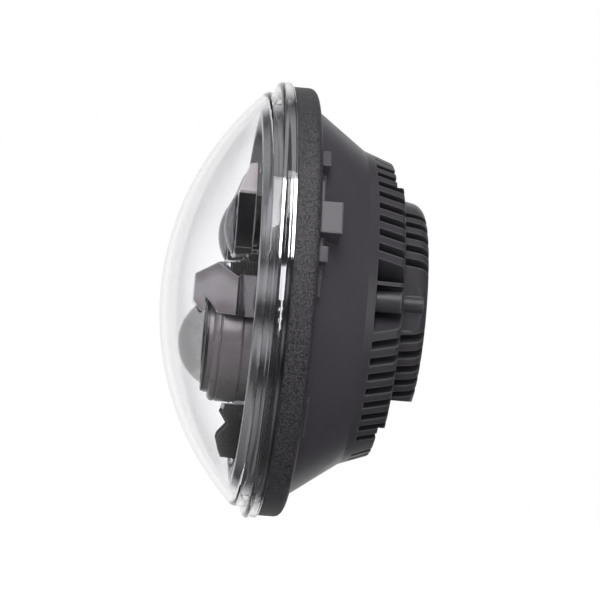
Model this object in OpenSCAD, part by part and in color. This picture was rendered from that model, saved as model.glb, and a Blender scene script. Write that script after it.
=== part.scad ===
// Round seven-inch headlamp: a finned die-cast body, a clear domed lens and the
// projector optics between them. X is the optical axis and the front faces -X.
// The origin lies on that axis, inside the turned land of the rim band.

/* [Rim band] */
// Diameter of the turned land that fits the lamp ring
band_d = 175; // [170:0.5:180]
// Length of the land ahead of the origin
land_front = 3.5; // [2.5:0.5:4.5]
// Length of the land behind the origin
land_back = 3.5; // [2.5:0.5:4]
// How far the rounded back corner of the band steps in
band_corner = 3; // [2:0.5:4]

/* [Body] */
// Wall of the die-cast body
wall = 3.2; // [2.6:0.2:3.8]
// Half angle of the smooth cone behind the band
cone_angle = 35.5; // [33:0.5:37]
// Axial place where the smooth cone meets the finned ring
fin_root_x = 28; // [26:0.5:29]
// Axial place of the tips of the outer fins
outer_tip_x = 44; // [42:0.5:46]
// Axial place of the tips of the inner fins
inner_tip_x = 56; // [54:0.5:58]
// Radius of the inner fin tier
inner_tier_r = 45.5; // [44:0.5:47]
// Thickness of the body floor
floor_t = 5; // [4:0.5:5.5]

/* [Fins] */
// Distance from one cooling slot to the next
fin_pitch = 6.45; // [6.2:0.05:6.7]
// Width of a cooling slot
slot_w = 3.2; // [2.6:0.1:3.6]
// Lean of the fins from level
fin_lean = 35; // [32:1:38]
// Shift of the slot pattern from the middle of a quadrant
slot_shift = -2.2; // [-3:0.1:-1.5]

/* [Locating tabs] */
// Angle of the first tab above level
tab_angle = 21; // [15:1:27]
// Width of a tab
tab_w = 13; // [9:0.5:14]
// Length of a tab behind the band
tab_len = 8; // [6:0.5:9]
// Length of the low blocks beside a tab
block_len = 3; // [2:0.5:4]

/* [Lens] */
// Radius of the domed face
dome_r = 117; // [112:0.5:125]
// Height of the straight skirt between the flange and the dome
skirt_h = 5.5; // [4.5:0.25:6.5]
// Thickness of the lens
lens_t = 2.8; // [2.2:0.1:3.2]
// Radial step of the lens flange over the band
flange_step = 1.55; // [1:0.05:2]
// Axial thickness of the lens flange
flange_t = 5.4; // [4.4:0.2:6]

/* [Main projector] */
// Height of the main lens from the axis
main_z = -18.6; // [-20:0.2:-18]
// Wall of the projector barrel outside the lens
barrel_wall = 6.2; // [5.6:0.2:6.6]
// Distance of the barrel's front edge ahead of the origin
barrel_front = 28.8; // [27:0.2:30]
// Radius of the clear part of the main lens
main_lens_r = 17.8; // [16:0.2:18.4]
// Height of the main lens's dome
main_lens_h = 11.8; // [10:0.2:12.5]

/* [Upper pods] */
// Sideways distance of a pod from the middle
pod_y = 28.5; // [27.5:0.5:30]
// Height of the pod lens from the axis
pod_z = 28; // [27.5:0.5:29.5]
// Radius of a pod lens
pod_lens_r = 11.8; // [10.5:0.1:12]
// Half width of a pod
pod_half_w = 13.4; // [13:0.2:13.8]
// Depth of a pod's front frame
pod_depth = 7; // [5.5:0.5:8]

/* [Centre hood] */
// Distance of the hood's nose ahead of the origin
hood_front = 36; // [34.5:0.5:37]
// Top of the hood at its nose
hood_nose_z = 8; // [7:0.5:9]
// Top of the hood where it meets the bezel
hood_top_z = 14.4; // [13:0.2:14.6]
// Height of the shoulder edge along the hood's side
hood_edge_z = 6.5; // [5:0.5:8]
// Half width of the hood where it meets the bezel
hood_half_w = 27; // [25.5:0.5:28]
// Wall of the hood
hood_t = 1.6; // [1.2:0.1:2]

/* [Hidden] */
$fn = 96;

// Play between pieces that slip into one another
fit = 0.2;
// Overlap of cutters past the face they cut
eps = 0.5;
// Reach of cutters that run past the whole lamp
far = 120;

band_r = band_d / 2;
flange_r = band_r + flange_step;
band_back = land_back + band_corner;
cone_start_r = band_r - 7.9;
fin_root_r = cone_start_r - (fin_root_x - band_back) * tan(cone_angle);
tip_round = 3;
outer_tip_r = fin_root_r - 4.5;
crown_h = 12;
crown_z = outer_tip_r - crown_h;
crown_step = 4.4;
crown_tip_x = outer_tip_x - crown_step;
core_r = 20;
bay_r = 14;
bay_floor = fin_root_x + 6;
slot_floor = fin_root_x + 3.5;
floor_x = slot_floor - floor_t - 0.5;

groove_r_out = band_r - 2.2;
groove_r_in = groove_r_out - lens_t - 2 * fit;
groove_floor = land_back - 2.2;
lip_r = groove_r_in - 2.6;
lip_front = -land_front + 1.5;
ledge_x = 2;
ledge_r = lip_r - 3.5;
cavity_r = fin_root_r - wall;

tongue_r_out = groove_r_out - fit;
tongue_r_in = groove_r_in + fit;
skirt_r = tongue_r_out - 0.5;
corner_r = 3;
dome_end = skirt_r - 1.4;
tongue_end = groove_floor - 1;
flange_back = -land_front - fit;
flange_front = flange_back - flange_t;
edge_x = flange_front - skirt_h;
dome_x = edge_x + sqrt(dome_r * dome_r - dome_end * dome_end);

bezel_r = lip_r - fit;
dish_r = lip_r - 8.2;
dish_front = -4;
dish_t = 1.8;
dish_back = dish_front + dish_t;
bezel_screw_r = ledge_r - 1.4;
bezel_flange_x = ledge_x - dish_t;
ring_h = 13.2;
ring_t = 1.3;

spreader_back = 12.5;
spreader_t = 2.5;
spreader_front = spreader_back - spreader_t;
board_t = 1.6;
board_front = spreader_front - board_t;
post_r = 4.5;
post_reach = 54;
spreader_r = post_reach + 6;
driver_boss_reach = 38;
driver_r = 44;
driver_back = floor_x - 7;
driver_front = driver_back - board_t;

screw_r = 1.5;
screw_head_r = 2.75;
screw_head_h = 1.8;
screw_play = 0.05;

barrel_r = main_lens_r + barrel_wall;
holder_r = barrel_r - 3.4;
holder_h = 1.7;
main_seat_t = 2;
main_lens_flange_r = main_lens_r + 0.8;
main_sphere_r = cap_ball(main_lens_r, main_lens_h);
main_sphere_x = -barrel_front - main_lens_h + main_sphere_r;
clip_t = 1.2;
clip_w = 2.4;
reflector_front = -5;

pod_front = 22.8;
pod_bottom = pod_z - 12.6;
pod_top = pod_z + 24;
pod_tube_r = pod_lens_r + 1.3;
pod_seat = -pod_front + 4;
pod_bore_r = pod_lens_r - 1;

hood_step = 2;

side_r = 14.5;
side_front = -9;
side_reach = dish_r - side_r - 2.6;
side_dip = 39;
side_y = side_reach * cos(side_dip);
side_z = -side_reach * sin(side_dip);

cup_r = 7.5;
cup_h = 8.5;
cup_z = dish_r - cup_r - 4.8;
visor_w = 30;
visor_h = 18;
visor_top = main_z - barrel_r - 0.6;
visor_bottom = -dish_r + 6;

boss_z = 1.5;
boss_r = 4.4;
boss_reach = outer_tip_r - 3.8;
rib_r = 3.2;
inner_flat_y = inner_tier_r - 1.8;

above_turn = 18;
above_w = 7.5;
below_turn = 10;
below_w = 6;
step_turn = 21;
LOW_STEP = [-41, -29];

POST_ANGLES = [0, 90, 180, 270];
DRIVER_ANGLES = [45, 135, 225, 315];
BEZEL_ANGLES = [90, 210, 330];

vent_z = 30;
vent_r = 5;
gland_r = 6;

// Points of an arc about c, from angle a0 to a1
function arc(c, r, a0, a1, n = 6) =
    [for (i = [0:n]) c + r * [cos(a0 + (a1 - a0) * i / n), sin(a0 + (a1 - a0) * i / n)]];

// Radius of a ball whose cap is h high and r wide
function cap_ball(r, h) = (r * r + h * h) / (2 * h);

function reversed(list) = [for (i = [len(list) - 1:-1:0]) list[i]];

// Turns a section drawn as [radius, x] about an axis parallel to X
module turned(y = 0, z = 0) {
    translate([0, y, z]) rotate([0, 90, 0]) rotate_extrude() children();
}

// Extrudes an outline drawn as [y, z] along X, from x0 to x1
module across(x0, x1) {
    translate([x0, 0, 0]) rotate([90, 0, 90]) linear_extrude(x1 - x0) children();
}

// Extrudes a side view drawn as [x, z] along Y, over the width w about y
module sideways(w, y = 0) {
    translate([0, y + w / 2, 0]) rotate([90, 0, 0]) linear_extrude(w) children();
}

// A round bar along X
module bar(r, x0, x1, y = 0, z = 0) {
    translate([x0, y, z]) rotate([0, 90, 0]) cylinder(r = r, h = x1 - x0);
}

module ball(r, x, y = 0, z = 0) {
    translate([x, y, z]) sphere(r, $fn = 192);
}

// Copies the children at each angle in the list, measured from +Y about X
module around(angles) {
    for (a = angles) rotate([a, 0, 0]) children();
}

module mirrored_y() {
    children();
    mirror([0, 1, 0]) children();
}

// Body

// Full outer form of the casting, before the slots are cut
module body_envelope() {
    turned() polygon(concat(
        [[0, -land_front], [band_r - 0.4, -land_front], [band_r, -land_front + 0.4]],
        arc([band_r - band_corner, land_back], band_corner, 0, 70),
        [[cone_start_r + 1.2, band_back - 0.1], [cone_start_r, band_back + 0.2],
         [fin_root_r, fin_root_x]],
        arc([outer_tip_r - tip_round, outer_tip_x - 1.2 - tip_round], tip_round, 15, 80),
        [[inner_tier_r + 4, outer_tip_x]],
        arc([inner_tier_r + 1.2, outer_tip_x + 1.2], 1.2, 270, 180),
        arc([inner_tier_r - 0.8 - 6, inner_tip_x - 1.2 - 6], 6, 8, 75),
        [[inner_tier_r - 16, inner_tip_x], [0, inner_tip_x]]));
}

// One quadrant's row of slots, as an outline across the axis
module slot_row(first, last) {
    rotate(fin_lean) for (k = [first:last])
        translate([0, slot_shift + k * fin_pitch - slot_w / 2]) square([far, slot_w]);
}

// The part of a quadrant that the slots may cut, between two radii
module ring_outline(r_in, r_out) {
    difference() {
        circle(r_out);
        circle(r_in);
    }
}

// Wedge between the last slots of two neighbouring quadrants, where the fins stand upright
module crown_wedge(last, gap) {
    low = (slot_shift + last * fin_pitch + slot_w / 2 + gap) / cos(fin_lean);
    polygon([[0, low], [far, low + far * tan(fin_lean)], [-far, low + far * tan(fin_lean)]]);
}

module crown_slots(last) {
    intersection() {
        crown_wedge(last, fin_pitch - slot_w);
        for (k = [-3:3]) translate([k * fin_pitch - slot_w / 2, 0]) square([slot_w, far]);
    }
}

// Open pocket beside the level screw boss, between the first fins above and below
module boss_pocket() {
    above = slot_shift - 2 * fin_pitch - slot_w / 2 - (fin_pitch - slot_w);
    below = slot_shift - 3 * fin_pitch - slot_w / 2 - (fin_pitch - slot_w);
    slope = tan(fin_lean);
    tip_y = -(above + below) / 2 / sin(fin_lean);
    tip_z = (above - below) / 2 / cos(fin_lean);
    difference() {
        polygon([[tip_y, tip_z], [far, tip_z + (far - tip_y) * slope],
            [far, tip_z - (far - tip_y) * slope]]);
        translate([0, boss_z + boss_r + 1.6]) square([far, 1.5]);
        translate([boss_reach, boss_z]) circle(boss_r);
        translate([boss_reach - 14, boss_z - 1.5]) square([14, 3]);
    }
}

module outer_slots() {
    intersection() {
        ring_outline(inner_tier_r + 1.5, far);
        union() {
            mirrored_pair() slot_row(-2, 5);
            mirror([0, 1]) mirrored_pair() slot_row(-3, 4);
            mirrored_pair() boss_pocket();
            crown_slots(5);
            mirror([0, 1]) crown_slots(4);
        }
    }
}

module mirrored_pair() {
    children();
    mirror([1, 0]) children();
}

module inner_slots() {
    intersection() {
        ring_outline(core_r, far);
        union() {
            mirrored_pair() slot_row(-1, 3);
            mirror([0, 1]) mirrored_pair() slot_row(-2, 2);
        }
        mirrored_pair() union() {
            translate([core_r * 0.6, 0]) square([far, far]);
            translate([core_r * 0.6, -far]) square([far, far]);
        }
    }
}

// Hollow of the body, open to the front
module body_cavity() {
    turned() polygon([[0, -land_front - eps], [lip_r, -land_front - eps], [lip_r, ledge_x],
        [ledge_r, ledge_x], [ledge_r - 1, ledge_x + 5],
        [cavity_r, floor_x - 2], [cavity_r - 2, floor_x], [0, floor_x]]);
    turned() polygon([[lip_r - eps, -land_front - eps], [groove_r_in, -land_front - eps],
        [groove_r_in, lip_front], [lip_r - eps, lip_front]]);
}

module lens_groove() {
    turned() translate([groove_r_in, -land_front - eps])
        square([groove_r_out - groove_r_in, groove_floor + land_front + eps]);
}

// Square-edged tab or block behind the band, w wide and len long
module tab(a, w, len) {
    in_r = cone_start_r - len * tan(cone_angle) - 1;
    out_r = band_r - 1.5;
    rotate([a, 0, 0]) translate([land_back, in_r, -w / 2])
        cube([band_corner + len, out_r - in_r, w]);
}

// Low raised step round the foot of the cone
module ring_step(a0, a1) {
    rise = 1.9;
    rotate([a0, 0, 0]) rotate([90, 0, 90]) rotate_extrude(angle = a1 - a0)
        polygon([[cone_start_r - 4, band_back - 1], [cone_start_r + rise, band_back - 1],
            [cone_start_r + rise, band_back + 1.2], [cone_start_r + rise - 0.6, band_back + 1.8],
            [cone_start_r - 4, band_back + 1.8]]);
}

module step_pocket(a, w) {
    rotate([a, 0, 0]) translate([band_back + 0.3, cone_start_r + 0.6, -w / 2]) cube([1.6, 6, w]);
}

// One side's tab, the blocks above and below it and the step between them
module tab_group() {
    tab(tab_angle, tab_w, tab_len);
    tab(tab_angle + above_turn, above_w, block_len);
    tab(tab_angle - below_turn, below_w, block_len);
    ring_step(tab_angle - step_turn, tab_angle + above_turn);
    ring_step(LOW_STEP[0], LOW_STEP[1]);
}

// Round screw boss level with the axis, with its seat against the inner tier
module side_boss() {
    bar(boss_r, slot_floor - 1, outer_tip_x - 2, boss_reach, boss_z);
    bar(rib_r, outer_tip_x - 3, inner_tip_x - 3.4, inner_flat_y - 0.6, boss_z);
}

// Flat cut along the side of the inner tier
module side_flat() {
    translate([outer_tip_x + 0.4, inner_flat_y, boss_z - 10.6]) cube([far, far, 21.4]);
}

module housing() {
    color([0.17, 0.17, 0.18])
    difference() {
        union() {
            difference() {
                body_envelope();
                body_cavity();
                across(slot_floor, far) outer_slots();
                across(outer_tip_x - 8, far) inner_slots();
                // Flat under the inner tier
                translate([outer_tip_x + 0.5, -far, -far])
                    cube([far, 2 * far, far - inner_tier_r + 9]);
                // Shorter fins at the crown and the foot
                translate([crown_tip_x, -far, crown_z]) cube([far, 2 * far, far]);
                translate([crown_tip_x, -far, -far - crown_z]) cube([far, 2 * far, far]);
                mirrored_y() side_flat();
            }
            around(POST_ANGLES) bar(post_r, spreader_back, floor_x + 1, post_reach);
            around(DRIVER_ANGLES) bar(post_r - 0.5, driver_back, floor_x + 1, driver_boss_reach);
            around(BEZEL_ANGLES) intersection() {
                bar(4, ledge_x, floor_x + 1, bezel_screw_r);
                rotate([-90, 0, 0]) body_hull();
            }
            mirrored_y() {
                tab_group();
                side_boss();
            }
        }
        lens_groove();
        mirrored_y() {
            step_pocket(tab_angle + 14, 3.6);
            step_pocket(tab_angle - 14, 4.6);
        }
        around(POST_ANGLES) bar(screw_r, spreader_back - eps, spreader_back + 9, post_reach);
        around(DRIVER_ANGLES) bar(screw_r, driver_back - eps, driver_back + 6, driver_boss_reach);
        around(BEZEL_ANGLES) bar(screw_r, ledge_x - eps, ledge_x + 9, bezel_screw_r);
        bar(bay_r, bay_floor, far);
        bar(gland_r + fit, floor_x - eps, bay_floor + eps);
        bar(vent_r - 1.5, floor_x - eps, far, 0, vent_z);
        bar(vent_r + 1, outer_tip_x, far, 0, vent_z);
    }
}

// The space within the outer skin, which the bezel posts must not leave
module body_hull() {
    turned() polygon([[0, ledge_x], [ledge_r + 1, ledge_x], [ledge_r + 1, ledge_x + 5],
        [cavity_r + 2, floor_x + 1], [0, floor_x + 1]]);
}

// Lens

// A ring of round section, its middle at radius r and place x
module rounded_ring(r, x, round_r) {
    turned() translate([r, x]) circle(round_r);
}

module lens_outside() {
    intersection() {
        ball(dome_r, dome_x);
        bar(dome_end, -far, edge_x + 2);
    }
    rounded_ring(skirt_r - corner_r, edge_x + corner_r - 0.5, corner_r);
    bar(skirt_r, edge_x + corner_r - 0.5, flange_back);
    bar(flange_r, flange_front + 2, flange_back - 0.6);
    bar(flange_r - 0.6, flange_front + 2, flange_back);
    bar(flange_r - 2, flange_front, flange_back);
    rounded_ring(flange_r - 2, flange_front + 2, 2);
    bar(tongue_r_out, flange_back - 1, tongue_end);
}

module outer_lens() {
    inner_edge = edge_x + lens_t;
    color([0.86, 0.88, 0.92, 0.4])
    difference() {
        lens_outside();
        intersection() {
            ball(dome_r - lens_t, dome_x);
            bar(tongue_r_in, -far, far);
            translate([-far, -far, -far]) cube([far + inner_edge, 2 * far, 2 * far]);
        }
        bar(tongue_r_in, inner_edge - 0.5, far);
    }
}

module lens_sealant() {
    color([0.12, 0.12, 0.12])
    turned() translate([groove_r_in, tongue_end])
        square([groove_r_out - groove_r_in, groove_floor - tongue_end]);
}

// Bezel

// Trim ring: a bright lip, a steep outer side and a wide inner wall, of one thin section
module bezel_ring() {
    foot_out = groove_r_in - fit;
    foot_in = foot_out - ring_t;
    lip = lip_front - ring_h;
    wall_r = dish_r + 0.6;
    crest_r = (foot_out + wall_r) / 2 - 0.6;
    color([0.75, 0.75, 0.78])
    turned() polygon([[foot_out, lip_front], [foot_out, lip_front - 2.4], [crest_r + 1.1, lip + 0.4],
        [crest_r + 0.3, lip], [crest_r - 0.6, lip], [crest_r - 1.3, lip + 0.6],
        [wall_r, dish_front - 0.8], [wall_r, dish_front + 1], [wall_r + ring_t, dish_front + 1],
        [wall_r + ring_t, dish_front - 0.8], [crest_r - 0.4, lip + 2.6], [crest_r + 0.2, lip + 2.6],
        [foot_in, lip_front - 2.2], [foot_in, lip_front]]);
}

module inner_bezel() {
    color([0.1, 0.1, 0.11])
    difference() {
        turned() polygon([[0, dish_front], [dish_r - 1, dish_front], [dish_r, dish_front + 1],
            [dish_r, bezel_flange_x], [bezel_r, bezel_flange_x], [bezel_r, ledge_x],
            [dish_r - dish_t, ledge_x], [dish_r - dish_t, dish_back], [0, dish_back]]);
        bar(barrel_r + fit, dish_front - eps, dish_back + eps, 0, main_z);
        mirrored_y() {
            bar(pod_tube_r + fit, dish_front - eps, dish_back + eps, pod_y, pod_z);
            bar(side_r + fit, dish_front - eps, dish_back + eps, side_y, side_z);
        }
        around(BEZEL_ANGLES) bar(screw_r + 0.2, bezel_flange_x - eps, ledge_x + eps, bezel_screw_r);
    }
}

// Hood

function hood_side(t) = [[dish_front + t, hood_top_z - t], [-hood_front + 9, hood_top_z - 1.2 - t],
    [-hood_front + 0.1 + t, hood_nose_z - t * 0.7], [-hood_front + 0.1 + t, -2.6 - t * 0.2],
    [-hood_front + 3.2 + t * 0.5, -6.8 - t], [-hood_front + 19, -8 - t], [dish_front + t, -8.4 - t]];

// Half of the plan outline, from the bezel to the nose
function hood_half_plan(t) = [[dish_front + t, hood_half_w - hood_step - t],
    [-hood_front + 17.4, hood_half_w - hood_step - t],
    [-hood_front + 16.6, hood_half_w - 0.8 - t], [-hood_front + 9, hood_half_w - 6 - t],
    [-hood_front + t, hood_half_w - 15 - t * 0.6]];

function flipped(list) = [for (p = list) [p[0], -p[1]]];

function hood_front_view(t) = [[-hood_half_w, -far], [hood_half_w, -far], [hood_half_w, hood_edge_z - t],
    [hood_half_w - 9, hood_top_z + 1 - t], [-hood_half_w + 9, hood_top_z + 1 - t],
    [-hood_half_w, hood_edge_z - t]];

module hood_form(t) {
    intersection() {
        sideways(far) polygon(hood_side(t));
        translate([0, 0, -far / 2]) linear_extrude(far)
            polygon(concat(hood_half_plan(t), reversed(flipped(hood_half_plan(t)))));
        across(-far, far) polygon(hood_front_view(t));
    }
}

module centre_hood() {
    color([0.72, 0.72, 0.76])
    difference() {
        hood_form(0);
        hood_form(hood_t);
        translate([dish_front - hood_t - eps, -hood_half_w + hood_step + hood_t, -7])
            cube([3, 2 * (hood_half_w - hood_step - hood_t), 7 + hood_edge_z]);
        bar(barrel_r + fit, -barrel_front - 2.5, 0, 0, main_z);
        ball(main_sphere_r + 3 * fit, main_sphere_x, 0, main_z);
    }
}

// Main projector

module main_barrel() {
    bore = main_lens_r - 0.8;
    seat = main_lens_flange_r + fit;
    groove_x = [-barrel_front + 4.6, -barrel_front + 13.5];
    groove = 0.5;
    color([0.36, 0.33, 0.32])
    difference() {
        turned(0, main_z) polygon(concat(
            [[bore, reflector_front], [bore, -barrel_front], [holder_r, -barrel_front],
             [holder_r, -barrel_front + holder_h], [barrel_r - 2, -barrel_front + holder_h]],
            arc([barrel_r - 2, -barrel_front + holder_h + 2], 2, -75, 0, 4),
            [[barrel_r, -barrel_front + 12.8], [barrel_r - 0.8, -barrel_front + 13.6],
             [barrel_r - 0.8, reflector_front]]));
        turned(0, main_z) translate([bore - eps, -barrel_front - eps])
            square([seat - bore + eps, main_seat_t + eps]);
        for (x = groove_x) turned(0, main_z) polygon([[barrel_r - groove, x],
            [barrel_r + 1, x - groove - 1], [barrel_r + 1, x + groove + 1]]);
    }
}

module main_lens() {
    color([0.55, 0.56, 0.6, 0.6]) {
        intersection() {
            ball(main_sphere_r, main_sphere_x, 0, main_z);
            bar(main_lens_flange_r, -far, -barrel_front + main_seat_t, 0, main_z);
        }
        bar(main_lens_flange_r, -barrel_front, -barrel_front + main_seat_t, 0, main_z);
    }
}

module main_lens_clip() {
    inner = main_lens_r + 0.1;
    color([0.2, 0.2, 0.2])
    turned(0, main_z) translate([inner, -barrel_front - clip_t]) square([clip_w, clip_t]);
}

module main_reflector() {
    t = 1.5;
    inner = main_lens_r - 0.8;
    foot = reflector_front + 2;
    color([0.7, 0.7, 0.72])
    turned(0, main_z) polygon([[6, board_front], [inner * 0.62, 4], [inner * 0.85, 0],
        [inner, reflector_front], [barrel_r - 0.8, reflector_front], [barrel_r - 0.8, foot],
        [inner + t, foot], [inner * 0.85 + t, 0.8], [inner * 0.62 + t, 5], [6 + 2 * t, board_front]]);
}

// A metal-core board with its light emitter
module led_board(y, z, r, chip) {
    dome_part = 0.8;
    bar(r, board_front, spreader_front, y, z);
    translate([board_front - 0.8, y - chip / 2, z - chip / 2]) cube([0.8, chip, chip]);
    bar(chip * 0.4, board_front - 0.8 - dome_part, board_front - 0.8, y, z);
}

module main_led_board() {
    color([0.85, 0.85, 0.82]) led_board(0, main_z, barrel_r - 6, 7);
}

// Upper pods

// A pod: a shallow faceted frame round the lens, on a tube that stands on its board
module pod(side) {
    back = -pod_front + pod_depth;
    slope = 4.5;
    color([0.5, 0.48, 0.48])
    difference() {
        union() {
            intersection() {
                sideways(2 * pod_half_w, side * pod_y) polygon([[back, pod_bottom + 0.8],
                    [-pod_front + 0.8, pod_bottom], [-pod_front, pod_bottom + 1],
                    [-pod_front, pod_top - 13], [-pod_front + slope, pod_top], [back, pod_top + 0.5]]);
                across(-pod_front - 1, back) pod_outline(side);
            }
            for (k = [0:2]) {
                rib_end = back + 2.4 - 0.8 * k;
                translate([back - eps, side * pod_y - pod_half_w + 3, pod_bottom + 1 + 3 * k])
                    cube([rib_end - back + eps, 2 * pod_half_w - 6, 1.6]);
            }
            bar(pod_tube_r, back - 1, board_front, side * pod_y, pod_z);
        }
        bar(pod_lens_r + fit, -far, pod_seat, side * pod_y, pod_z);
        bar(pod_bore_r, pod_seat - eps, board_front + eps, side * pod_y, pod_z);
    }
}

// Front outline of a pod, with its outer top corner cut off
module pod_outline(side) {
    cut = 11;
    bottom_cut = 3;
    polygon([for (p = [[-pod_half_w, pod_bottom - 1], [pod_half_w - bottom_cut, pod_bottom - 1],
        [pod_half_w, pod_bottom + bottom_cut], [pod_half_w, pod_top - cut],
        [pod_half_w - 0.8 * cut, pod_top + 2], [-pod_half_w, pod_top + 2]])
        [side * (pod_y + p[0]), p[1]]]);
}

module pod_lens(side) {
    h = 3.6;
    front = -pod_front - 0.3;
    r = cap_ball(pod_lens_r, h);
    color([0.08, 0.08, 0.1, 0.8])
    intersection() {
        ball(r, front - h + r, side * pod_y, pod_z);
        bar(pod_lens_r, -far, pod_seat, side * pod_y, pod_z);
    }
}

module left_pod() { pod(-1); }
module right_pod() { pod(1); }
module left_pod_lens() { pod_lens(-1); }
module right_pod_lens() { pod_lens(1); }

module left_pod_board() {
    color([0.85, 0.85, 0.82]) led_board(-pod_y, pod_z, pod_tube_r, 4);
}

module right_pod_board() {
    color([0.85, 0.85, 0.82]) led_board(pod_y, pod_z, pod_tube_r, 4);
}

// Side bowls

module side_bowl(side) {
    t = 1.4;
    neck = side_r - 2.7;
    color([0.62, 0.6, 0.63])
    turned(side * side_y, side_z) polygon([[4, board_front], [9, 3], [neck, -3],
        [side_r - t, side_front], [side_r, side_front], [side_r - 0.6, dish_front],
        [neck + t, -2.4], [9 + t, 3.4], [4 + 2 * t, board_front]]);
}

module left_reflector() { side_bowl(-1); }
module right_reflector() { side_bowl(1); }

module left_side_board() {
    color([0.85, 0.85, 0.82]) led_board(-side_y, side_z, 9, 3.5);
}

module right_side_board() {
    color([0.85, 0.85, 0.82]) led_board(side_y, side_z, 9, 3.5);
}

// Small round cup over the pods, standing on the bezel
module top_reflector() {
    t = 1.2;
    front = dish_front - cup_h;
    color([0.5, 0.46, 0.52])
    turned(0, cup_z) polygon([[0, dish_front], [cup_r - 2, dish_front], [cup_r, front + 1],
        [cup_r, front], [cup_r - t, front], [cup_r - 2 - t, dish_front - t], [0, dish_front - t]]);
}

// Dark visor under the barrel: a block, a notch and a hooked foot, hollow from the front
module lower_reflector() {
    t = 1.6;
    front = dish_front - visor_h;
    foot_top = visor_bottom + 10;
    color([0.14, 0.14, 0.15])
    difference() {
        sideways(visor_w) polygon([[dish_front, visor_top], [front + 2, visor_top],
            [front + 1, visor_top - 3.5], [front + 4, visor_top - 8],
            [front + 0.5, foot_top], [front, foot_top - 2],
            [front + 2, visor_bottom + 1], [dish_front, visor_bottom]]);
        sideways(visor_w - 2 * t) polygon([[dish_front - t, visor_top - t], [-far, visor_top - t - 4],
            [-far, visor_bottom + t + 3], [dish_front - t, visor_bottom + t]]);
    }
}

// Inner carrier and electronics

module heat_spreader() {
    color([0.75, 0.76, 0.77])
    difference() {
        bar(spreader_r, spreader_front, spreader_back);
        around(POST_ANGLES) bar(screw_r + 0.2, spreader_front - eps, spreader_back + eps, post_reach);
        bar(5, spreader_front - eps, spreader_back + eps, 0, 10);
    }
}

module driver_board() {
    color([0.05, 0.25, 0.12])
    difference() {
        bar(driver_r, driver_front, driver_back);
        around(DRIVER_ANGLES) bar(screw_r + 0.2, driver_front - eps, driver_back + eps, driver_boss_reach);
        bar(3, driver_front - eps, driver_back + eps, 14, 14);
    }
    coil = 5;
    color([0.12, 0.12, 0.13]) {
        bar(coil, driver_back, driver_back + 4, -17, 12);
        translate([driver_back, 8, -22]) cube([3, 9, 9]);
        translate([driver_back, -22, -20]) cube([2, 7, 12]);
    }
}

// Fasteners

module pan_screw(x, reach, length) {
    bar(screw_r - screw_play, x, x + length, reach);
    difference() {
        bar(screw_head_r, x - screw_head_h, x, reach);
        translate([x - screw_head_h - eps, reach, 0])
            rotate([45, 0, 0]) union() {
                translate([0, -1.6, -0.35]) cube([eps + 0.9, 3.2, 0.7]);
                translate([0, -0.35, -1.6]) cube([eps + 0.9, 0.7, 3.2]);
            }
    }
}

module bezel_screws() {
    color([0.6, 0.6, 0.62]) around(BEZEL_ANGLES) pan_screw(bezel_flange_x, bezel_screw_r, 9);
}

module spreader_screws() {
    color([0.6, 0.6, 0.62]) around(POST_ANGLES) pan_screw(spreader_front, post_reach, 9);
}

module driver_screws() {
    color([0.6, 0.6, 0.62]) around(DRIVER_ANGLES) pan_screw(driver_front, driver_boss_reach, 6);
}

// Back fittings

module breather_vent() {
    color([0.1, 0.1, 0.1]) {
        bar(vent_r, outer_tip_x, outer_tip_x + 4, 0, vent_z);
        bar(vent_r - 1.5 - fit, floor_x, outer_tip_x, 0, vent_z);
    }
}

// Gland with its thread through the floor, bored right through for the cable
module cable_gland() {
    cable_r = 3.5;
    color([0.08, 0.08, 0.08])
    difference() {
        union() {
            bar(gland_r, floor_x - 4.5, bay_floor);
            translate([bay_floor, 0, 0]) rotate([0, 90, 0]) cylinder(r = 10, h = 4, $fn = 6);
            bar(7.5, bay_floor + 4, bay_floor + 7);
            turned() polygon([[0, bay_floor + 7], [9, bay_floor + 7], [9, bay_floor + 13],
                [6.5, bay_floor + 18], [0, bay_floor + 18]]);
        }
        bar(cable_r, floor_x - far, far);
    }
}

module gland_nut() {
    color([0.08, 0.08, 0.08])
    difference() {
        translate([floor_x - 3.5, 0, 0]) rotate([0, 90, 0]) cylinder(r = 9.5, h = 3.5, $fn = 6);
        bar(gland_r + screw_play, floor_x - 4, floor_x + eps);
    }
}

housing();
outer_lens();
lens_sealant();
bezel_ring();
inner_bezel();
centre_hood();
main_barrel();
main_lens();
main_lens_clip();
main_reflector();
main_led_board();
left_pod();
right_pod();
left_pod_lens();
right_pod_lens();
left_pod_board();
right_pod_board();
left_reflector();
right_reflector();
left_side_board();
right_side_board();
top_reflector();
lower_reflector();
heat_spreader();
driver_board();
bezel_screws();
spreader_screws();
driver_screws();
breather_vent();
cable_gland();
gland_nut();
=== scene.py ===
"""Looks for the round projector headlamp: materials, studio and camera. Lengths are in metres."""
import math

import bpy
from mathutils import Matrix, Vector


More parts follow.
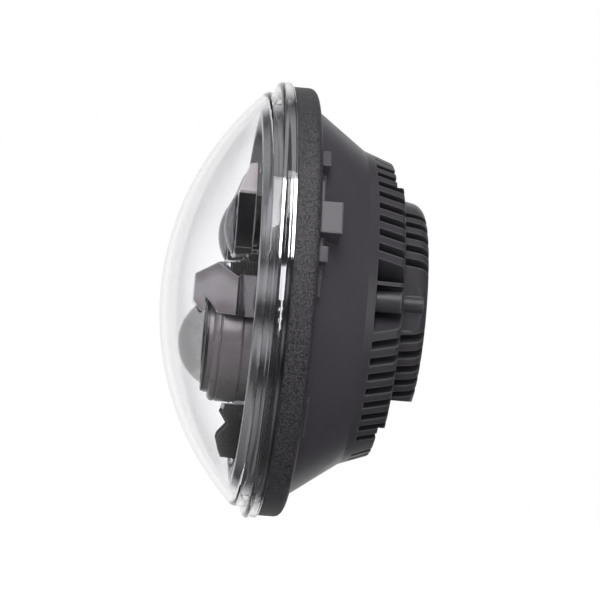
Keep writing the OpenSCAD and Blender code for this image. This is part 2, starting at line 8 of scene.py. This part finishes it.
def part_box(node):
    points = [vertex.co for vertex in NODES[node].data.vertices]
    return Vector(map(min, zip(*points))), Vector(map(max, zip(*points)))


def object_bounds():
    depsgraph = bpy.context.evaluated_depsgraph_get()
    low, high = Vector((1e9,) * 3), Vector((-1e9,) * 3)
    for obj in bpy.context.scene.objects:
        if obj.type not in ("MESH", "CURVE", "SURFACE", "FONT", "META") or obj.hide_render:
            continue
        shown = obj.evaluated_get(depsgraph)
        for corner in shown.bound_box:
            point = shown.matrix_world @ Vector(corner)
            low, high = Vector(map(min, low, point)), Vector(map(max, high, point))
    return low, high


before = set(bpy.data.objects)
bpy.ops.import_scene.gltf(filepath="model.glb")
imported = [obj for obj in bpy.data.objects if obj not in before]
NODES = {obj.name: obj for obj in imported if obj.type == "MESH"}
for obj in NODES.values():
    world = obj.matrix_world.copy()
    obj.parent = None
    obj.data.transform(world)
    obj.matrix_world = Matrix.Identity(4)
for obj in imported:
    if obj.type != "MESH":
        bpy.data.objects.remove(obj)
CAD_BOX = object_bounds()

# Camera, as read from the photograph's outline
VIEW_DISTANCE = 1.1
VIEW_YAW = math.radians(5.0)
VIEW_PITCH = math.radians(-2.0)
VIEW_ROLL = math.radians(4.7)
SENSOR_WIDTH = 36
PIXELS_PER_METRE = 2450
FRAME_WIDTH = 600 / PIXELS_PER_METRE
CENTRE_X = (300 - 281) / PIXELS_PER_METRE
CENTRE_Y = (300.5 - 299) / PIXELS_PER_METRE

# Brightness of the studio: seen straight, seen through glass, as light, and in mirrors by direction.
# Through glass it is above white, to make up for what the dome's faces throw back.
SHOWN_WHITE = 1.0
THROUGH_WHITE = 1.12
FLOOR_WHITE = 0.9
WORLD_LIGHT = 0.36
ROOM_FRONT = 0.4
ROOM_BACK = 0.05
ROOM_TOP = 0.4

# The mirrored room is banded by height: turns of the wave, and the least and most it scales by
BAND_TURNS = 13
BAND_RANGE = (0.25, 1.5)

FLOOR_HALF = 6.0
FLOOR_DROP = 0.25

# Where the housing's coat changes along the axis, each from and to
BAND_END = (0.0055, 0.0065)
BACK_START = (0.006, 0.008)
FIN_START = (0.0275, 0.029)

# Below the true index of polycarbonate, 1.58, so that the dome stays as pale as in the photograph
DOME_INDEX = 1.32
LENS_INDEX = 1.5

# Share of a pod's height under its pale brow, and half the width of the change
BROW_SHARE = 0.66
BROW_SOFT = 0.0003

# Name, darkest and lightest colour, least and most roughness, and the nodes it covers
PLASTICS = (
    ("bezel_black", (0.02, 0.02, 0.022), (0.03, 0.03, 0.032), (0.12, 0.2), ("inner_bezel",)),
    ("barrel_taupe", (0.24, 0.212, 0.222), (0.29, 0.26, 0.27), (0.24, 0.34), ("main_barrel",)),
    ("clip_black", (0.015, 0.015, 0.016), (0.02, 0.02, 0.022), (0.3, 0.4), ("main_lens_clip",)),
    ("cup_violet", (0.16, 0.14, 0.17), (0.2, 0.18, 0.21), (0.15, 0.25), ("top_reflector",)),
    ("visor_black", (0.006, 0.006, 0.007), (0.01, 0.01, 0.011), (0.2, 0.3), ("lower_reflector",)),
    ("sealant_black", (0.01, 0.01, 0.01), (0.014, 0.014, 0.014), (0.5, 0.6), ("lens_sealant",)),
    ("fitting_black", (0.012, 0.012, 0.012), (0.018, 0.018, 0.018), (0.4, 0.5),
     ("breather_vent", "cable_gland", "gland_nut")),
    ("board_white", (0.7, 0.7, 0.68), (0.76, 0.76, 0.74), (0.35, 0.45),
     ("main_led_board", "left_pod_board", "right_pod_board", "left_side_board", "right_side_board")),
    ("board_green", (0.01, 0.12, 0.05), (0.012, 0.15, 0.06), (0.3, 0.4), ("driver_board",)),
)


# Shader helpers

def link(tree, source, target):
    tree.links.new(source, target)


def principled(name, colour, roughness, **inputs):
    """A material with one Principled shader; returns it with its tree and shader."""
    material = bpy.data.materials.new(name)
    material.use_nodes = True
    tree = material.node_tree
    shader = tree.nodes["Principled BSDF"]
    shader.inputs["Base Color"].default_value = (*colour, 1)
    shader.inputs["Roughness"].default_value = roughness
    for key, value in inputs.items():
        shader.inputs[key.replace("_", " ")].default_value = value
    return material, tree, shader


def coordinates(tree, kind="Object"):
    return tree.nodes.new("ShaderNodeTexCoord").outputs[kind]


def split(tree, vector):
    """The X, Y and Z outputs of a vector, by name."""
    made = tree.nodes.new("ShaderNodeSeparateXYZ")
    link(tree, vector, made.inputs[0])
    return made.outputs


def noise(tree, scale, detail, roughness=0.55):
    made = tree.nodes.new("ShaderNodeTexNoise")
    made.inputs["Scale"].default_value = scale
    made.inputs["Detail"].default_value = detail
    made.inputs["Roughness"].default_value = roughness
    link(tree, coordinates(tree), made.inputs["Vector"])
    return made.outputs["Fac"]


def remap(tree, value, from_low, from_high, to_low, to_high):
    made = tree.nodes.new("ShaderNodeMapRange")
    for key, number in (("From Min", from_low), ("From Max", from_high),
                        ("To Min", to_low), ("To Max", to_high)):
        made.inputs[key].default_value = number
    link(tree, value, made.inputs["Value"])
    return made.outputs["Result"]


def blend(tree, factor, first, second):
    """Mix of two colours, each a tuple or a socket. The colour sockets of this node go by number."""
    made = tree.nodes.new("ShaderNodeMix")
    made.data_type = "RGBA"
    link(tree, factor, made.inputs["Factor"])
    for socket, colour in ((made.inputs[6], first), (made.inputs[7], second)):
        if isinstance(colour, tuple):
            socket.default_value = (*colour, 1)
        else:
            link(tree, colour, socket)
    return made.outputs[2]


def combine(tree, operation, *values):
    """A sum of the given kind over numbers or sockets."""
    made = tree.nodes.new("ShaderNodeMath")
    made.operation = operation
    for socket, value in zip(made.inputs, values):
        if isinstance(value, (int, float)):
            socket.default_value = value
        else:
            link(tree, value, socket)
    return made.outputs[0]


def invert(tree, value):
    """One for nought, and nought for one or more."""
    return combine(tree, "SUBTRACT", 1, combine(tree, "MINIMUM", value, 1))


def soft_edge(tree, radius, samples=4):
    made = tree.nodes.new("ShaderNodeBevel")
    made.samples = samples
    made.inputs["Radius"].default_value = radius
    return made.outputs["Normal"]


def on_edges(tree, radius):
    """One along the sharp edges of a shape, nought on its faces."""
    dot = tree.nodes.new("ShaderNodeVectorMath")
    dot.operation = "DOT_PRODUCT"
    link(tree, soft_edge(tree, radius, samples=8), dot.inputs[0])
    link(tree, tree.nodes.new("ShaderNodeNewGeometry").outputs["Normal"], dot.inputs[1])
    return remap(tree, dot.outputs["Value"], 0.985, 0.93, 0, 1)


def bump(tree, shader, height, strength, distance, edge=0.0):
    """Relief from a height, over edges softened by the radius edge."""
    made = tree.nodes.new("ShaderNodeBump")
    made.inputs["Strength"].default_value = strength
    made.inputs["Distance"].default_value = distance
    link(tree, height, made.inputs["Height"])
    if edge:
        link(tree, soft_edge(tree, edge), made.inputs["Normal"])
    link(tree, made.outputs["Normal"], shader.inputs["Normal"])


def uneven_gloss(tree, shader, field, low, high):
    """Roughness between two values by a field of noise."""
    link(tree, remap(tree, field, 0.3, 0.7, low, high), shader.inputs["Roughness"])


# Materials

def cast_black():
    """Black powder coat over die-cast aluminium: coarse on the band, fine and glossier behind it."""
    material, tree, shader = principled("cast_black", (0.05, 0.047, 0.053), 0.4)
    along = split(tree, coordinates(tree))["X"]
    on_band = remap(tree, along, *BAND_END, 1, 0)
    on_back = remap(tree, along, *BACK_START, 0, 1)
    on_fins = remap(tree, along, *FIN_START, 0, 1)
    cloud = noise(tree, 60, 3)
    grain = noise(tree, 1500, 2, 0.75)
    skin = noise(tree, 3200, 2, 0.5)

    plain = blend(tree, cloud, (0.052, 0.047, 0.057), (0.061, 0.056, 0.066))
    pits = remap(tree, grain, 0.4, 0.6, 0, 1)
    speckled = blend(tree, pits, (0.012, 0.011, 0.014), (0.078, 0.073, 0.082))
    colour = blend(tree, on_band, plain, speckled)
    colour = blend(tree, on_fins, colour, (0.046, 0.043, 0.049))
    # Painted highlight: the casting's sharp edges behind the band are made lighter in colour, as
    # where light catches them.
    painted_edge_highlight = combine(tree, "MULTIPLY", on_back, on_edges(tree, 0.0012))
    colour = blend(tree, painted_edge_highlight, colour, (0.1, 0.096, 0.104))
    link(tree, colour, shader.inputs["Base Color"])

    rough = remap(tree, cloud, 0.3, 0.7, 0.3, 0.38)
    rough = combine(tree, "ADD", rough, combine(tree, "MULTIPLY", on_band, 0.14))
    link(tree, rough, shader.inputs["Roughness"])

    coarse = combine(tree, "MULTIPLY", grain, on_band)
    height = combine(tree, "ADD", coarse, combine(tree, "MULTIPLY", skin, 0.1))
    bump(tree, shader, height, 0.9, 0.0005, 0.001)
    return material


def pass_lamp_rays(material, tree, shader, tint):
    """Lets rays from lamps go straight through glass, so that what lies behind is lit."""
    clear = tree.nodes.new("ShaderNodeBsdfTransparent")
    clear.inputs["Color"].default_value = (*tint, 1)
    path = tree.nodes.new("ShaderNodeLightPath")
    mix = tree.nodes.new("ShaderNodeMixShader")
    link(tree, path.outputs["Is Shadow Ray"], mix.inputs["Fac"])
    link(tree, shader.outputs["BSDF"], mix.inputs[1])
    link(tree, clear.outputs["BSDF"], mix.inputs[2])
    link(tree, mix.outputs["Shader"], tree.nodes["Material Output"].inputs["Surface"])
    return material


def clear_dome():
    """Hard-coated clear polycarbonate, which lamp rays pass."""
    material, tree, shader = principled(
        "clear_dome", (0.99, 0.99, 1.0), 0.01, Transmission_Weight=1.0, IOR=DOME_INDEX)
    uneven_gloss(tree, shader, noise(tree, 30, 2), 0.008, 0.022)
    return pass_lamp_rays(material, tree, shader, (0.7, 0.7, 0.72))


def tinted_glass(name, colour, roughness, alpha):
    """Lens glass, part of it plainly see-through by alpha, as a thick lens looks from its side."""
    material, tree, shader = principled(
        name, colour, roughness, Transmission_Weight=1.0, IOR=LENS_INDEX, Alpha=alpha)
    uneven_gloss(tree, shader, noise(tree, 50, 2), roughness, roughness + 0.02)
    return pass_lamp_rays(material, tree, shader, colour)


def chrome(name, colour, low, high, edge=0.0006, wave=0.0004, edge_highlight_colour=None):
    """Metallised plastic: hazy gloss, faces with waves of the given height, and an optional painted
    highlight colour along its edges.
    """
    material, tree, shader = principled(name, colour, low, Metallic=1.0)
    # Painted highlight: the sharp edges take the lighter colour.
    if edge_highlight_colour:
        link(tree, blend(tree, on_edges(tree, edge), colour, edge_highlight_colour), shader.inputs["Base Color"])
    uneven_gloss(tree, shader, noise(tree, 90, 3), low, high)
    bump(tree, shader, noise(tree, 42, 1), 0.35, wave, edge)
    return material


def plastic(name, dark, light, low, high):
    """Moulded plastic: a cloudy colour, uneven gloss and a fine skin."""
    material, tree, shader = principled(name, dark, low)
    cloud = noise(tree, 70, 3)
    link(tree, blend(tree, cloud, dark, light), shader.inputs["Base Color"])
    uneven_gloss(tree, shader, cloud, low, high)
    bump(tree, shader, noise(tree, 900, 2), 0.12, 0.0002, 0.0004)
    return material


def pale_brow_pod():
    """Black below and pale taupe on the sloped brow over the lens, with a painted highlight along its
    edges.
    """
    material, tree, shader = principled("pod_smoke", (0.1, 0.09, 0.09), 0.14)
    low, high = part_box("left_pod")
    brow = low[2] + BROW_SHARE * (high[2] - low[2])
    height = split(tree, coordinates(tree))["Z"]
    # Pale colour above a set height on the pod.
    on_brow = remap(tree, height, brow - BROW_SOFT, brow + BROW_SOFT, 0, 1)
    colour = blend(tree, on_brow, (0.01, 0.009, 0.01), (0.52, 0.48, 0.49))
    # Painted highlight along the pod's sharp edges.
    colour = blend(tree, on_edges(tree, 0.0007), colour, (0.7, 0.68, 0.7))
    link(tree, colour, shader.inputs["Base Color"])
    uneven_gloss(tree, shader, noise(tree, 90, 3), 0.1, 0.2)
    bump(tree, shader, noise(tree, 300, 2), 0.06, 0.0002, 0.0008)
    return material


def bare_aluminium():
    material, tree, shader = principled("bare_aluminium", (0.6, 0.61, 0.62), 0.35, Metallic=1.0)
    uneven_gloss(tree, shader, noise(tree, 400, 3), 0.3, 0.45)
    bump(tree, shader, noise(tree, 1200, 2), 0.1, 0.0001)
    return material


def dress(material, *names):
    """Gives CAD nodes a material in place of the plain one."""
    for name in names:
        mesh = NODES[name].data
        mesh.materials.clear()
        mesh.materials.append(material)


def dress_nodes():
    dress(cast_black(), "housing")
    dress(clear_dome(), "outer_lens")
    dress(chrome("trim_chrome", (0.6, 0.6, 0.62), 0.05, 0.1), "bezel_ring")
    # The hood gets a painted white highlight along its edges.
    dress(chrome("hood_chrome", (0.52, 0.48, 0.51), 0.03, 0.07, edge=0.0009, wave=0.0045,
                 edge_highlight_colour=(1.0, 0.98, 1.0)), "centre_hood")
    dress(chrome("bowl_bright", (0.7, 0.7, 0.71), 0.04, 0.1),
          "main_reflector", "left_reflector", "right_reflector")
    dress(pale_brow_pod(), "left_pod", "right_pod")
    dress(bare_aluminium(), "heat_spreader", "bezel_screws", "spreader_screws", "driver_screws")
    dress(tinted_glass("lens_glass", (0.95, 0.91, 0.94), 0.01, 0.42), "main_lens")
    dress(tinted_glass("pod_glass", (0.3, 0.3, 0.33), 0.02, 0.85), "left_pod_lens", "right_pod_lens")
    for name, dark, light, gloss, nodes in PLASTICS:
        dress(plastic(name, dark, light, *gloss), *nodes)


# Studio

def mirrored_room(tree):
    """What mirrors see: a dim banded room, brighter in front, with pale sheets at +Y and +Z."""
    toward = split(tree, coordinates(tree, "Generated"))
    dim = remap(tree, toward["X"], -0.95, -0.2, ROOM_FRONT, ROOM_BACK)
    wave = combine(tree, "SINE", combine(tree, "MULTIPLY", toward["Z"], BAND_TURNS))
    dim = combine(tree, "MULTIPLY", dim, remap(tree, wave, -0.8, 0.8, *BAND_RANGE))
    sheet = remap(tree, toward["Y"], 0.7, 0.95, 0, SHOWN_WHITE)
    overhead = remap(tree, toward["Z"], 0.72, 0.9, 0, ROOM_TOP)
    return combine(tree, "MAXIMUM", dim, combine(tree, "MAXIMUM", sheet, overhead))


def make_world():
    """White to the eye and through glass, a soft light to the rest, and a room to mirrors."""
    world = bpy.data.worlds.new("studio")
    world.use_nodes = True
    tree = world.node_tree
    background = tree.nodes["Background"]
    background.inputs["Color"].default_value = (1, 1, 1, 1)
    path = tree.nodes.new("ShaderNodeLightPath").outputs
    through = path["Is Transmission Ray"]
    unmirrored = invert(tree, path["Glossy Depth"])
    unscattered = invert(tree, path["Diffuse Depth"])

    clear = combine(tree, "MULTIPLY", through, combine(tree, "MULTIPLY", unmirrored, unscattered))
    clear = combine(tree, "MULTIPLY", clear, THROUGH_WHITE)
    straight = combine(tree, "MULTIPLY", path["Is Camera Ray"], SHOWN_WHITE)
    seen = combine(tree, "MAXIMUM", straight, clear)

    bounced = combine(tree, "MULTIPLY", through, invert(tree, unmirrored))
    mirrored = combine(tree, "MAXIMUM", path["Is Glossy Ray"], bounced)
    gained = combine(tree, "SUBTRACT", mirrored_room(tree), WORLD_LIGHT)
    strength = combine(tree, "ADD", WORLD_LIGHT, combine(tree, "MULTIPLY", mirrored, gained))
    link(tree, combine(tree, "MAXIMUM", strength, seen), background.inputs["Strength"])
    bpy.context.scene.world = world


def make_floor():
    """A pale floor well below the lamp, seen only straight on, which keeps the shadow."""
    low = CAD_BOX[0][2] - FLOOR_DROP
    corners = [(-FLOOR_HALF, -FLOOR_HALF, low), (FLOOR_HALF, -FLOOR_HALF, low),
               (FLOOR_HALF, FLOOR_HALF, low), (-FLOOR_HALF, FLOOR_HALF, low)]
    mesh = bpy.data.meshes.new("floor")
    mesh.from_pydata(corners, [], [(0, 1, 2, 3)])
    floor = bpy.data.objects.new("floor", mesh)
    bpy.context.scene.collection.objects.link(floor)
    material, tree, shader = principled("floor", (0.8, 0.8, 0.8), 0.7)
    shader.inputs["Emission Color"].default_value = (1, 1, 1, 1)
    camera_ray = tree.nodes.new("ShaderNodeLightPath").outputs["Is Camera Ray"]
    link(tree, combine(tree, "MULTIPLY", camera_ray, FLOOR_WHITE), shader.inputs["Emission Strength"])
    mesh.materials.append(material)
    floor.visible_glossy = False
    floor.visible_transmission = False


def area_light(name, place, size, power, mirrored=True):
    """A lamp aimed at the origin; unmirrored, it lights faces but shows in no mirror or glass."""
    data = bpy.data.lights.new(name, "AREA")
    data.shape = "RECTANGLE"
    data.size, data.size_y = size
    data.energy = power
    light = bpy.data.objects.new(name, data)
    light.location = place
    light.visible_glossy = mirrored
    light.visible_transmission = mirrored
    light.rotation_euler = (-Vector(place)).to_track_quat("-Z", "Y").to_euler()
    bpy.context.scene.collection.objects.link(light)


def make_lights():
    area_light("key", (-0.1, -0.95, 0.95), (0.4, 1.1), 14)
    area_light("front", (-0.3, -1.3, -0.75), (1.2, 1.2), 22, mirrored=False)
    area_light("fill", (0.9, -0.9, 0.0), (0.4, 0.7), 1.5)


def make_camera():
    """The photograph's viewpoint: nearly side on, front turned a little to the camera."""
    back = Vector((-math.sin(VIEW_YAW) * math.cos(VIEW_PITCH),
                   -math.cos(VIEW_YAW) * math.cos(VIEW_PITCH), math.sin(VIEW_PITCH)))
    level = Vector((math.cos(VIEW_YAW), -math.sin(VIEW_YAW), 0))
    rise = back.cross(level)
    right = level * math.cos(VIEW_ROLL) + rise * math.sin(VIEW_ROLL)
    up = rise * math.cos(VIEW_ROLL) - level * math.sin(VIEW_ROLL)
    data = bpy.data.cameras.new("camera")
    data.sensor_width = SENSOR_WIDTH
    data.lens = SENSOR_WIDTH * VIEW_DISTANCE / FRAME_WIDTH
    camera = bpy.data.objects.new("camera", data)
    turn = Matrix((right, up, back)).transposed().to_4x4()
    place = back * VIEW_DISTANCE + right * CENTRE_X + up * CENTRE_Y
    camera.matrix_world = Matrix.Translation(place) @ turn
    bpy.context.scene.collection.objects.link(camera)
    bpy.context.scene.camera = camera


bpy.context.scene.view_settings.view_transform = "Standard"
make_camera()
make_world()
make_floor()
make_lights()
dress_nodes()
